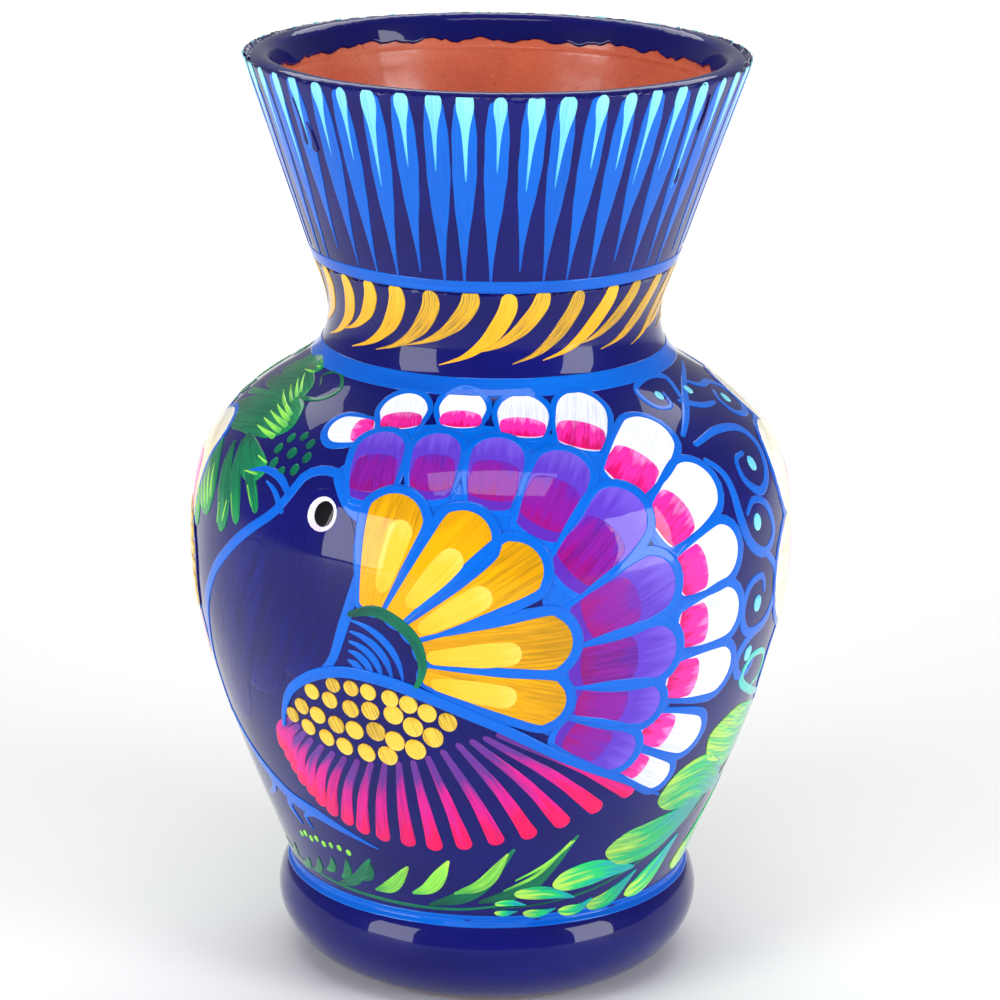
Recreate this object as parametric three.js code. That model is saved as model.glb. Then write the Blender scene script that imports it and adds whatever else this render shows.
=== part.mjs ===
// A hand-built earthenware flower vase: a bulged foot, an egg-shaped belly, a waisted neck and a
// flared collar with a rounded lip. The potter throws or presses the sections one by one and lutes
// them together with slip, so each section is its own solid and meets its neighbour on a joint face
// that runs square through the wall. A thin coat of cobalt paint covers the outside, runs over the
// lip and ends a little way down the inside. Three brushed bands lie on that coat.
// Millimetres, +Z up, the vase stands on z = 0 and its axis is the Z axis.
import * as THREE from "three";

// Driving dimensions
const HEIGHT = 250;
const WALL = 5.5; // clay wall of belly, neck and collar
const COAT = 0.4; // paint coat on the clay
const BAND = 0.3; // brushed band on the coat
const SLACK = 0.1; // air between one layer and the next
const STANDING_RING_RADIUS = 43;
const WAIST = { r: 54.2, z: 26.6 }; // groove between foot and belly
const BELLY = { r: 80.8, z: 117 };
const NECK = { r: 44.3, z: 182 };
const NECK_FOOT = { r: 54, z: 165 }; // where the shoulder turns up into the neck
const COLLAR_FOOT = { r: 48, z: 194.5 };
const COLLAR_SLOPE = 0.3423; // radius gained per millimetre of height
const COLLAR_BAND = { low: 196, high: 199.3 };
const FOOT_BAND = { low: 0.93, high: 0.045 }; // shares of the curves below and above the waist
const PAINT_DEPTH_INSIDE = 7; // how far the coat reaches down inside the lip
const FLOOR = { r: 36, underside: 3, top: 12 }; // the slab that closes the bottom
const COVE_RISE = 6; // roundness of the inside corner between floor and wall
const TURNS = 36; // facets round the axis

const CLAY = { color: 0xc8593a, roughness: 0.75 };
const COBALT = { color: 0x17185f, roughness: 0.15 };
const BRIGHT_BLUE = { color: 0x0a5fdc, roughness: 0.2 };

// Outline of the painted surface, from the standing ring up the outside and over the lip
const point = ({ r, z }) => new THREE.Vector2(r, z);
const at = (r, z) => new THREE.Vector2(r, z);

function stretch(curve, steps) {
  return curve.getPoints(steps).slice(1); // the first point belongs to the stretch before
}

const bezier = (a, b, c, d) => new THREE.CubicBezierCurve(a, b, c, d);
const collarRadius = (z) => COLLAR_FOOT.r + COLLAR_SLOPE * (z - COLLAR_FOOT.z);
const collarPoint = (z) => at(collarRadius(z), z);

function footOutline() {
  const start = at(STANDING_RING_RADIUS, 0);
  const bulge = bezier(start, at(59, 5), at(61, 20.7), point(WAIST));
  const bandEdge = bulge.getPoint(FOOT_BAND.low);
  return [start, ...stretch(bulge, 6).slice(0, -1), bandEdge, point(WAIST)];
}

function lowerBellyOutline() {
  const rise = bezier(point(WAIST), at(58, 39.5), at(BELLY.r, 84.7), point(BELLY));
  return [rise.getPoint(FOOT_BAND.high), ...stretch(rise, 12)];
}

function shoulderOutline() {
  const shoulder = bezier(point(BELLY), at(BELLY.r, 140.8), at(77.9, 150.6), point(NECK_FOOT));
  return stretch(shoulder, 8);
}

function neckOutline() {
  const rise = bezier(point(NECK_FOOT), at(45.6, 170), at(NECK.r, 175.4), point(NECK));
  const flare = bezier(point(NECK), at(NECK.r, 185.1), at(46.7, 191.2), point(COLLAR_FOOT));
  return [...stretch(rise, 4), ...stretch(flare, 3)];
}

// The lip is half a circle as thick as the painted wall, with its top at HEIGHT.
const LIP_RADIUS = WALL / 2 + COAT + SLACK;
const SLOPE_ANGLE = Math.atan(COLLAR_SLOPE);
const lipCentre = (() => {
  const z = HEIGHT - LIP_RADIUS;
  const outer = z - LIP_RADIUS * Math.sin(SLOPE_ANGLE);
  return at(collarRadius(outer) - LIP_RADIUS * Math.cos(SLOPE_ANGLE), z);
})();

function lipOutline() {
  const { x, y } = lipCentre;
  const arc = (from, to) => new THREE.EllipseCurve(x, y, LIP_RADIUS, LIP_RADIUS, from, to);
  const top = Math.PI / 2;
  return [
    ...arc(-SLOPE_ANGLE, top).getPoints(4),
    ...stretch(arc(top, Math.PI - SLOPE_ANGLE), 3),
  ];
}

function insideOutline(lipEnd) {
  const down = at(-Math.sin(SLOPE_ANGLE), -Math.cos(SLOPE_ANGLE));
  return [lipEnd.clone().addScaledVector(down, PAINT_DEPTH_INSIDE)];
}

const foot = footOutline();
const lowerBelly = lowerBellyOutline();
const shoulder = shoulderOutline();
const neck = neckOutline();
const collar = [collarPoint(COLLAR_BAND.low), collarPoint(COLLAR_BAND.high)];
const lip = lipOutline();
const inside = insideOutline(lip.at(-1));
const outline = [...foot, ...lowerBelly, ...shoulder, ...neck, ...collar, ...lip, ...inside];

// Index of the last outline point of each section
const WAIST_AT = foot.length - 1;
const BELLY_AT = WAIST_AT + lowerBelly.length;
const NECK_FOOT_AT = BELLY_AT + shoulder.length;
const COLLAR_FOOT_AT = NECK_FOOT_AT + neck.length;
const LIP_AT = COLLAR_FOOT_AT + collar.length + 1;

// Moves every point of a line to its left by a distance, mitred at the corners.
function offset(line, distance) {
  const leftOf = (a, b) => at(a.y - b.y, b.x - a.x).normalize();
  return line.map((p, i) => {
    const before = leftOf(line[Math.max(i - 1, 0)], line[Math.max(i, 1)]);
    const after = leftOf(line[Math.min(i, line.length - 2)], line[Math.min(i + 1, line.length - 1)]);
    const miter = before.clone().add(after).normalize();
    return p.clone().addScaledVector(miter, distance / miter.dot(after));
  });
}

const coatUnderside = offset(outline, COAT);
const clayOutside = offset(outline, COAT + SLACK);
clayOutside[0].y = 0;
const clayInside = offset(outline.slice(0, LIP_AT + 1), COAT + SLACK + WALL);
clayInside[LIP_AT] = clayOutside.at(-1); // the collar ends under the lip coil, on a sloping joint

// Turns a closed loop of (radius, height) points round the Z axis.
function revolve(name, loop, finish) {
  const geometry = new THREE.LatheGeometry([...loop, loop[0]], TURNS).rotateX(Math.PI / 2);
  const material = new THREE.MeshStandardMaterial({ ...finish, metalness: 0 });
  const mesh = new THREE.Mesh(geometry, material);
  mesh.name = name;
  return mesh;
}

// A section of the wall between two outline points, as one closed ring.
function wall(name, from, to) {
  const loop = [...clayOutside.slice(from, to + 1), ...clayInside.slice(from, to + 1).reverse()];
  return revolve(name, loop, CLAY);
}

// The thick coil that the vase stands on, coved inside down to the floor slab.
function footCoil() {
  const wallEnd = clayInside[WAIST_AT];
  const slabEdge = at(FLOOR.r, FLOOR.top);
  const cove = bezier(wallEnd, at(wallEnd.x - 1, wallEnd.y - COVE_RISE), at(44, FLOOR.top), slabEdge);
  const profile = [at(FLOOR.r, 0), ...clayOutside.slice(0, WAIST_AT + 1), ...cove.getPoints(4)];
  return revolve("foot_coil", profile, CLAY);
}

function floorSlab() {
  const { r, underside, top } = FLOOR;
  const profile = [at(0, underside), at(r, underside), at(r, top), at(0, top)];
  return revolve("floor_slab", profile, CLAY);
}

// The rounded coil that finishes the collar.
function lipCoil() {
  return revolve("lip_coil", clayOutside.slice(LIP_AT), CLAY);
}

// The coat starts one point above the standing ring, which stays bare clay.
function paintCoat() {
  const loop = [...outline.slice(1), ...coatUnderside.slice(1).reverse()];
  return revolve("cobalt_coat", loop, COBALT);
}

function band(name, from, to) {
  const line = outline.slice(from, to + 1);
  const loop = [...offset(line, -BAND - SLACK), ...offset(line, -SLACK).reverse()];
  return revolve(name, loop, BRIGHT_BLUE);
}

const vase = new THREE.Group();
vase.add(
  footCoil(),
  floorSlab(),
  wall("lower_belly", WAIST_AT, BELLY_AT),
  wall("shoulder", BELLY_AT, NECK_FOOT_AT),
  wall("neck", NECK_FOOT_AT, COLLAR_FOOT_AT),
  wall("collar", COLLAR_FOOT_AT, LIP_AT),
  lipCoil(),
  paintCoat(),
  band("foot_band", WAIST_AT - 1, WAIST_AT + 1),
  band("neck_band", NECK_FOOT_AT + 1, NECK_FOOT_AT + 2),
  band("collar_band", COLLAR_FOOT_AT + 1, COLLAR_FOOT_AT + 2),
);

export default vase;
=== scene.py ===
import math

import bpy
import numpy as np
from mathutils import Matrix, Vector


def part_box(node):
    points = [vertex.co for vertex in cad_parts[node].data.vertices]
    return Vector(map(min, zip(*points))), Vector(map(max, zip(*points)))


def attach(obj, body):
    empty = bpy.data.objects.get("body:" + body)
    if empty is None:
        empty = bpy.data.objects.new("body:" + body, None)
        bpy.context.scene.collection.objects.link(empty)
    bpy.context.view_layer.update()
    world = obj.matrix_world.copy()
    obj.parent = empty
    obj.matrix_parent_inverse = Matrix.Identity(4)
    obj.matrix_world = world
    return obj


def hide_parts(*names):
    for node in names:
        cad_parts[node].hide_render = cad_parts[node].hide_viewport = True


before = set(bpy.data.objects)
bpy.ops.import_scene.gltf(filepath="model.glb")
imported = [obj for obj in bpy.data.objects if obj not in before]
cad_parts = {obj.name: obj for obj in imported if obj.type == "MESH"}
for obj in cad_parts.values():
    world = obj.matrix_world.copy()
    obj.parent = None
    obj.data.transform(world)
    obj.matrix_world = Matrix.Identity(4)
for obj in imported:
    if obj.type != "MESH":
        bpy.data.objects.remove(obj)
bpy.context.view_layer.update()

# ------------------------------------------------------------
# Camera. It stands about a metre in front of the vase and 16 cm above its mouth, and looks down
# on it, so that the inside of the collar shows.
CAMERA_PLACE = (0.0, -0.9759, 0.4142)
CAMERA_PITCH = math.radians(16.39)
CAMERA_ROLL = math.radians(0.75)
LENS = 135.06  # millimetres, on a sensor SENSOR_WIDTH wide
SENSOR_WIDTH = 36
SIDEWAYS_SHIFT = 0.0081

camera_data = bpy.data.cameras.new("camera")
camera_data.lens = LENS
camera_data.sensor_width = SENSOR_WIDTH
camera_data.shift_x = SIDEWAYS_SHIFT
camera_data.clip_end = 20
camera = bpy.data.objects.new("camera", camera_data)
bpy.context.scene.collection.objects.link(camera)
camera.matrix_world = (
    Matrix.Translation(CAMERA_PLACE)
    @ Matrix.Rotation(math.pi / 2 - CAMERA_PITCH, 4, "X")
    @ Matrix.Rotation(CAMERA_ROLL, 4, "Z")
)
bpy.context.scene.camera = camera
bpy.context.scene.view_settings.view_transform = "Standard"

# ------------------------------------------------------------
# Table and light. A white sweep under the vase, a white tent round it, three soft boxes at the
# left, right and overhead, whose reflections run down the lacquer, and a light on the backdrop.
SWEEP_SIZE = 40.0  # metres
TENT_STRENGTH = 0.3


def colour(red, green, blue):
    """A paint colour, as read on a 0 to 255 scale, in the linear values that shaders take."""
    srgb = np.array((red, green, blue)) / 255
    linear = np.where(srgb <= 0.04045, srgb / 12.92, ((srgb + 0.055) / 1.055) ** 2.4)
    return (*linear.tolist(), 1.0)


def add(tree, kind, *feeds, **settings):
    """Adds a node. Settings are its properties; feeds are its inputs in order, a link or a value."""
    node = tree.nodes.new(kind)
    for name, value in settings.items():
        setattr(node, name, value)
    for socket, feed in zip([s for s in node.inputs if s.enabled], feeds):
        if isinstance(feed, bpy.types.NodeSocket):
            tree.links.new(feed, socket)
        elif feed is not None:
            socket.default_value = feed
    return next(s for s in node.outputs if s.enabled)


def new_material(name):
    material = bpy.data.materials.new(name)
    material.use_nodes = True
    material.node_tree.nodes.remove(material.node_tree.nodes["Principled BSDF"])
    return material, material.node_tree


def finish_with(tree, shader_feeds, **constants):
    """Ends a material in a Principled BSDF: linked inputs by name, and constants on its own sockets."""
    shader = tree.nodes.new("ShaderNodeBsdfPrincipled")
    for name, socket in shader_feeds.items():
        tree.links.new(socket, shader.inputs[name])
    for name, value in constants.items():
        shader.inputs[name.replace("_", " ")].default_value = value
    tree.links.new(shader.outputs[0], tree.nodes["Material Output"].inputs["Surface"])


def soft_box(name, place, turn, size, watts):
    light = bpy.data.lights.new(name, "AREA")
    light.shape = "RECTANGLE"
    light.size, light.size_y = size
    light.energy = watts
    holder = bpy.data.objects.new(name, light)
    bpy.context.scene.collection.objects.link(holder)
    holder.location = place
    holder.rotation_euler = [math.radians(angle) for angle in turn]


sweep_mesh = bpy.data.meshes.new("white_sweep")
half = SWEEP_SIZE / 2
sweep_mesh.from_pydata(
    [(-half, -half, 0), (half, -half, 0), (half, half, 0), (-half, half, 0)], [], [(0, 1, 2, 3)]
)
sweep = bpy.data.objects.new("white_sweep", sweep_mesh)
bpy.context.scene.collection.objects.link(sweep)
sweep_material, tree = new_material("matt_white_board")
speckle = add(tree, "ShaderNodeTexNoise", None, 40.0)
board = add(tree, "ShaderNodeMapRange", speckle, 0.0, 1.0, 0.55, 0.65)
finish_with(tree, {"Roughness": board}, Base_Color=colour(246, 246, 246))
sweep_mesh.materials.append(sweep_material)

tent = bpy.data.worlds.new("white_tent")
bpy.context.scene.world = tent
tent.use_nodes = True
tent.node_tree.nodes["Background"].inputs["Color"].default_value = (1.0, 1.0, 1.0, 1.0)
tent.node_tree.nodes["Background"].inputs["Strength"].default_value = TENT_STRENGTH

soft_box("left_soft_box", (-1.0, -0.8, 0.42), (86, 0, -51), (0.6, 0.8), 11.5)
soft_box("right_soft_box", (1.05, -0.65, 0.4), (86, 0, 58), (0.5, 0.8), 10.8)
soft_box("overhead_soft_box", (0.0, -0.5, 1.3), (20, 0, 0), (0.8, 0.4), 4.5)
soft_box("backdrop_light", (0.0, 1.5, 1.5), (0, 0, 0), (2.4, 1.2), 30)

# ------------------------------------------------------------
# Clay. The foot coil, floor slab, lower belly, shoulder, neck, collar and lip coil are thrown or
# rolled in coarse red earthenware and luted together with slip. The inside is left as thrown,
# with shallow finger ridges, and sealed with a thin varnish.
CLAY_SECTIONS = (
    "foot_coil", "floor_slab", "lower_belly", "shoulder", "neck", "collar", "lip_coil",
)
CORNER = math.radians(28)  # a sharper turn than this in an outline is a real corner
PROFILE_STEP = 0.0012  # metres between points of a smooth outline
CLAY_TURNS = 180
RIDGE_DEPTH = 0.00022
ON_PLANE = 1e-6  # metres within which a point counts as lying on a plane
SPLINE_STEPS = 16  # points worked out between two knots of a smooth line
CRISP_SHARE = 0.05  # how far along the first and last step the extra points of a crisp corner lie
MERGE_GAP = 2e-6  # points closer than this are one point


def cut_of(node):
    """The outline of a round CAD node, cut along its axis: an ordered loop of (radius, height)."""
    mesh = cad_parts[node].data
    spots = {}
    for polygon in mesh.polygons:
        corners = [mesh.vertices[i].co for i in polygon.vertices]
        for a, b in zip(corners, corners[1:] + corners[:1]):
            if all(abs(p.y) < ON_PLANE and p.x > -ON_PLANE for p in (a, b)):
                ends = [(round(abs(p.x), 7), round(p.z, 7)) for p in (a, b)]
                spots.setdefault(ends[0], set()).add(ends[1])
                spots.setdefault(ends[1], set()).add(ends[0])
    # The walk starts at the lowest spot, and goes on to the nearest one that it has not been to.
    loop = [min(spots, key=lambda spot: (spot[1], spot[0]))]
    while True:
        onward = [s for s in spots[loop[-1]] if s not in loop]
        if not onward:
            return np.array(loop)
        loop.append(min(onward, key=lambda s: math.dist(s, loop[-1])))


def catmull_rom(points, step):
    """A smooth line through the points, as evenly spaced points about one step apart."""
    p = np.array(points, float)
    knots = np.vstack([2 * p[:1] - p[1:2], p, 2 * p[-1:] - p[-2:-1]])
    t = np.linspace(0, 1, SPLINE_STEPS, endpoint=False)[:, None]
    spans = [
        0.5 * (2 * b + (c - a) * t + (2 * a - 5 * b + 4 * c - d) * t**2 + (3 * b - a - 3 * c + d) * t**3)
        for a, b, c, d in zip(knots, knots[1:], knots[2:], knots[3:])
    ]
    line = np.vstack([*spans, knots[-2:-1]])
    length = np.r_[0, np.cumsum(np.linalg.norm(np.diff(line, axis=0), axis=1))]
    count = max(2, round(length[-1] / step) + 1)
    even = np.linspace(0, length[-1], count)
    return np.column_stack([np.interp(even, length, line[:, i]) for i in range(line.shape[1])])


def turns_of(loop):
    """How far the outline turns at each of its points, in radians, positive to the left."""
    before = loop - np.roll(loop, 1, axis=0)
    after = np.roll(loop, -1, axis=0) - loop
    cross = before[:, 0] * after[:, 1] - before[:, 1] * after[:, 0]
    return np.arctan2(cross, (before * after).sum(axis=1))


def runs_of(loop, corner=CORNER):
    """The outline's smooth runs, each from one corner to the next."""
    corners = np.flatnonzero(abs(turns_of(loop)) > corner)
    loop = np.roll(loop, -corners[0], axis=0)
    corners = [*(corners - corners[0]), len(loop)]
    closed = np.vstack([loop, loop[:1]])
    return [closed[a : b + 1] for a, b in zip(corners, corners[1:])]


def crisp_ends(line):
    """The line with a point close to either end, so that a corner there is shaded as a crisp one."""
    first = CRISP_SHARE * line[1] + (1 - CRISP_SHARE) * line[0]
    last = CRISP_SHARE * line[-2] + (1 - CRISP_SHARE) * line[-1]
    return np.vstack([line[:1], [first], line[1:-1], [last], line[-1:]])


def mesh_object(name, points, edges=(), faces=()):
    mesh = bpy.data.meshes.new(name)
    mesh.from_pydata([tuple(p) for p in points], edges, faces)
    made = bpy.data.objects.new(name, mesh)
    bpy.context.scene.collection.objects.link(made)
    return made


def write_attribute(target, name, values, kind="FLOAT"):
    attribute = target.data.attributes.new(name, kind, "POINT")
    key = "value" if kind == "FLOAT" else "vector"
    attribute.data.foreach_set(key, np.asarray(values, np.float32).ravel())


def new_tree(name, **inputs):
    """A Geometry Nodes tree with a geometry input and output, and the named inputs."""
    tree = bpy.data.node_groups.new(name, "GeometryNodeTree")
    tree.interface.new_socket("Geometry", in_out="OUTPUT", socket_type="NodeSocketGeometry")
    tree.interface.new_socket("Geometry", in_out="INPUT", socket_type="NodeSocketGeometry")
    for label, kind in inputs.items():
        tree.interface.new_socket(
            label.replace("_", " "), in_out="INPUT", socket_type="NodeSocket" + kind
        )
    return tree, tree.nodes.new("NodeGroupInput").outputs


def maths(operation, *feeds, kind="ShaderNodeMath"):
    """A maths node, in the tree of the first socket that feeds it."""
    tree = next(feed.id_data for feed in feeds if isinstance(feed, bpy.types.NodeSocket))
    return add(tree, kind, *feeds, operation=operation)


def vector_maths(operation, *feeds):
    return maths(operation, *feeds, kind="ShaderNodeVectorMath")


def about_axis(tree, vector, angle):
    """The vector turned about the vase's axis."""
    return add(
        tree, "ShaderNodeVectorRotate", vector, None, (0.0, 0.0, 1.0), angle, rotation_type="AXIS_ANGLE"
    )


def end_tree(tree, geometry, material):
    real = add(tree, "GeometryNodeRealizeInstances", geometry)
    painted = add(tree, "GeometryNodeSetMaterial", real, None, material)
    tree.links.new(painted, tree.nodes.new("NodeGroupOutput").inputs[0])


def run_tree(target, tree, **values):
    """Runs a tree on an object with the given inputs and leaves its result as a plain mesh."""
    modifier = target.modifiers.new(tree.name, "NODES")
    modifier.node_group = tree
    sockets = {s.name: s for s in tree.interface.items_tree if s.in_out == "INPUT"}
    for label, value in values.items():
        modifier[sockets[label.replace("_", " ")].identifier] = value
    graph = bpy.context.evaluated_depsgraph_get()
    mesh = bpy.data.meshes.new_from_object(
        target.evaluated_get(graph), preserve_all_data_layers=True, depsgraph=graph
    )
    target.modifiers.clear()
    target.data = mesh
    mesh.name = target.name
    mesh.shade_smooth()
    return target


# The turned wall: a grid whose rows run round the axis and whose columns follow the outline.
tree, given = new_tree("Turned wall", Turns="Int", Ridges="Float", Material="Material")
outline_count = add(tree, "GeometryNodeAttributeDomainSize", given["Geometry"])
columns = maths("ADD", given["Turns"], 1.0)
rows = maths("ADD", outline_count, 1.0)
grid = add(tree, "GeometryNodeMeshGrid", 1.0, 1.0, columns, rows)
grid_place = add(tree, "GeometryNodeInputPosition")
shares = vector_maths("ADD", grid_place, (0.5, 0.5, 0.0))
separate = tree.nodes.new("ShaderNodeSeparateXYZ")
tree.links.new(shares, separate.inputs[0])
across = maths("ROUND", maths("MULTIPLY", separate.outputs["Y"], outline_count))
across = maths("MODULO", across, outline_count)
spot = add(
    tree, "GeometryNodeSampleIndex", given["Geometry"], grid_place, across, data_type="FLOAT_VECTOR"
)
ridge_share = add(tree, "GeometryNodeInputNamedAttribute", "inside", data_type="FLOAT")
ridge_share = add(
    tree, "GeometryNodeSampleIndex", given["Geometry"], ridge_share, across, data_type="FLOAT"
)
angle = maths("MULTIPLY", separate.outputs["X"], math.tau)
placed = about_axis(tree, spot, angle)
stretched = vector_maths("MULTIPLY", placed, (8.0, 8.0, 230.0))
ridges = add(tree, "ShaderNodeTexNoise", stretched, 1.0, 1.0)
ridges = maths("MULTIPLY", maths("SUBTRACT", ridges, 0.5), ridge_share)
ridges = maths("MULTIPLY", ridges, given["Ridges"])
outward = vector_maths("NORMALIZE", vector_maths("MULTIPLY", placed, (1.0, 1.0, 0.0)))
ridged = vector_maths("SCALE", outward, ridges)
wall_place = vector_maths("ADD", placed, ridged)
wall = add(tree, "GeometryNodeSetPosition", grid, None, wall_place)
wall = add(tree, "GeometryNodeMergeByDistance", wall, None, MERGE_GAP)
end_tree(tree, wall, given["Material"])
turned_wall = tree


def shader_group(name, inputs, outputs):
    group = bpy.data.node_groups.new(name, "ShaderNodeTree")
    for label, (kind, default) in inputs.items():
        socket = group.interface.new_socket(label, in_out="INPUT", socket_type="NodeSocket" + kind)
        socket.default_value = default
    for label, kind in outputs.items():
        group.interface.new_socket(label, in_out="OUTPUT", socket_type="NodeSocket" + kind)
    return group, group.nodes.new("NodeGroupInput").outputs, group.nodes.new("NodeGroupOutput").inputs


def use_group(tree, group, **values):
    node = tree.nodes.new("ShaderNodeGroup")
    node.node_tree = group
    for label, value in values.items():
        node.inputs[label.replace("_", " ")].default_value = value
    return node.outputs


def noise(vector, scale, detail=2.0, roughness=0.5):
    return add(vector.id_data, "ShaderNodeTexNoise", vector, scale, detail, roughness)


def spread(value, low, high, to_low=0.0, to_high=1.0):
    return add(value.id_data, "ShaderNodeMapRange", value, low, high, to_low, to_high)


def blend_colours(share, first, second):
    return add(share.id_data, "ShaderNodeMix", share, first, second, data_type="RGBA")


def bump(height, strength, distance):
    return add(height.id_data, "ShaderNodeBump", strength, distance, None, height)


# Lacquer: the clear varnish that is brushed over everything, with its ripple, dust and scuffs.
lacquer, given, put_out = shader_group(
    "Lacquer",
    {"Gloss": ("Float", 0.12), "Ripple": ("Float", 1.0)},
    {"Roughness": "Float", "Height": "Float"},
)
place = lacquer.nodes.new("ShaderNodeTexCoord").outputs["Object"]
ripple = noise(place, 85.0, 2.0)
orange_peel = noise(place, 900.0, 1.0)
dust = spread(noise(place, 1500.0, 2.0, 0.7), 0.66, 0.75)
height = maths("MULTIPLY", ripple, given["Ripple"])
height = maths("MULTIPLY_ADD", orange_peel, 0.03, height)
height = maths("MULTIPLY_ADD", dust, 0.02, height)
lacquer.links.new(height, put_out["Height"])
scuffs = spread(noise(place, 30.0, 4.0, 0.65), 0.5, 0.8, 0.0, 0.1)
dulled = maths("ADD", given["Gloss"], maths("MULTIPLY_ADD", dust, 0.12, scuffs))
lacquer.links.new(dulled, put_out["Roughness"])

# Fired clay: mottled red brown with pale and dark grog, under patches of varnish.
terracotta, tree = new_material("terracotta")
place = tree.nodes.new("ShaderNodeTexCoord").outputs["Object"]
mottle = noise(place, 38.0, 4.0, 0.6)
smears = noise(vector_maths("MULTIPLY", place, (14.0, 14.0, 120.0)), 1.0, 3.0)
grog = noise(place, 900.0, 2.0, 0.6)
shade = blend_colours(spread(mottle, 0.35, 0.68), colour(200, 84, 50), colour(224, 112, 74))
shade = blend_colours(spread(smears, 0.5, 0.75, 0.0, 0.5), shade, colour(228, 138, 104))
shade = blend_colours(spread(grog, 0.62, 0.76, 0.0, 0.25), shade, colour(238, 176, 140))
shade = blend_colours(spread(grog, 0.38, 0.28, 0.0, 0.5), shade, colour(140, 56, 34))
clay_height = maths("MULTIPLY_ADD", grog, 0.35, smears)
varnish = use_group(tree, lacquer, Gloss=0.2, Ripple=0.4)
patches = spread(mottle, 0.42, 0.6, 0.34, 0.0)
clay_roughness = maths("ADD", varnish["Roughness"], patches)
clay_normal = bump(clay_height, 0.35, 0.0004)
finish_with(
    tree,
    {"Base Color": shade, "Roughness": clay_roughness, "Normal": clay_normal},
    Coat_Weight=0.35,
    Coat_Roughness=0.12,
)

for section in CLAY_SECTIONS:
    runs = [crisp_ends(catmull_rom(run, PROFILE_STEP))[:-1] for run in runs_of(cut_of(section))]
    loop = np.maximum(np.vstack(runs), 0.0)
    heading = np.roll(loop, -1, axis=0) - loop
    if (loop[:, 0] * np.roll(loop[:, 1], -1) - loop[:, 1] * np.roll(loop[:, 0], -1)).sum() < 0:
        loop, heading = loop[::-1], -heading[::-1]
    piece = mesh_object("turned_" + section, [(r, 0, z) for r, z in loop])
    write_attribute(piece, "inside", np.clip(-heading[:, 1] / PROFILE_STEP, 0, 1))
    run_tree(piece, turned_wall, Turns=CLAY_TURNS, Ridges=RIDGE_DEPTH, Material=terracotta)
    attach(piece, "root")
    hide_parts(section)

# ------------------------------------------------------------
# Cobalt coat. Navy acrylic brushed over the whole outside and the lip, ending in a ragged wet
# edge a little way down inside the collar. Everything painted later is laid on its surface.

# The decoration is drawn on a flat sheet in millimetres: across is the way round the vase, with
# 0 at the front, up is the way up its side, with 0 in the groove over the foot. The sheet is to
# scale where the vase's radius is BELLY_RADIUS, and shrinks evenly with the vase elsewhere.
BELLY_RADIUS = 80.0
ONCE_ROUND = math.tau * BELLY_RADIUS
MERIDIAN_STEP = 0.5
COAT_THICKNESS = 0.4
COAT_TOP_ROWS = 250
COAT_UNDER_ROWS = 60
UNEVENNESS = 0.12  # how far the brushed and lacquered surface wanders in and out
COAT_CORNER = math.radians(80)
COAT_START = (0.0013, 0.00025)  # metres out from the standing ring, and up from the table
FINE_STEP = 0.0001
COAT_LOW = -0.8  # rows by which the coat is taken under the foot
COAT_HIGH = -2.6  # rows by which its ragged edge stops short inside the collar
LACQUER_SHARE = 2.0  # how much more the lacquer's ripple shows than the brush marks below it

outer_run = max(runs_of(cut_of("cobalt_coat"), COAT_CORNER), key=lambda run: run[:, 0].max())
if outer_run[0, 1] > outer_run[-1, 1]:
    outer_run = outer_run[::-1]
standing_ring = max(r for r, z in cut_of("foot_coil") if z < ON_PLANE)
outer_run = np.vstack([(standing_ring + COAT_START[0], COAT_START[1]), outer_run])
meridian = catmull_rom(outer_run, FINE_STEP) * 1000
steps = np.linalg.norm(np.diff(meridian, axis=0), axis=1)
middles = (meridian[1:, 0] + meridian[:-1, 0]) / 2
drawing_rows = np.r_[0, np.cumsum(BELLY_RADIUS * steps / middles)]
waist_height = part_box("foot_coil")[1].z * 1000
lower_half = slice(len(meridian) // 2)
drawing_rows -= np.interp(waist_height, meridian[lower_half, 1], drawing_rows[lower_half])
even_rows = np.arange(drawing_rows[0], drawing_rows[-1], MERIDIAN_STEP)
meridian = np.column_stack([np.interp(even_rows, drawing_rows, meridian[:, i]) for i in (0, 1)])
heading = np.gradient(meridian, axis=0)
heading /= np.linalg.norm(heading, axis=1)[:, None]
lip_row = even_rows[meridian[:, 1].argmax()]
meridian_line = mesh_object("meridian", [(r / 1000, 0, z / 1000) for r, z in meridian])
write_attribute(
    meridian_line, "outward", [(up, 0, -out) for out, up in heading], "FLOAT_VECTOR"
)


def row_at(height):
    """The drawing's row at a height on the outside of the vase, in metres."""
    outside = even_rows <= lip_row
    return float(np.interp(height * 1000, meridian[outside, 1], even_rows[outside]))


# Vase surface: where a spot of the drawing lies on the vase, a given height above the coat.
surface = bpy.data.node_groups.new("Vase surface", "GeometryNodeTree")
for label in ("Across", "Up", "Height"):
    surface.interface.new_socket(label, in_out="INPUT", socket_type="NodeSocketFloat")
surface.interface.new_socket("Meridian", in_out="INPUT", socket_type="NodeSocketObject")
surface.interface.new_socket("Place", in_out="OUTPUT", socket_type="NodeSocketVector")
given = surface.nodes.new("NodeGroupInput").outputs
line = add(surface, "GeometryNodeObjectInfo", given["Meridian"]).node.outputs["Geometry"]
row = maths("DIVIDE", maths("SUBTRACT", given["Up"], even_rows[0]), MERIDIAN_STEP)
whole = maths("FLOOR", row)
part = maths("SUBTRACT", row, whole)
next_row = maths("ADD", whole, 1.0)
line_place = add(surface, "GeometryNodeInputPosition")
line_outward = add(surface, "GeometryNodeInputNamedAttribute", "outward", data_type="FLOAT_VECTOR")
turn = maths("SUBTRACT", maths("DIVIDE", given["Across"], BELLY_RADIUS), math.pi / 2)
turned = []
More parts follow.
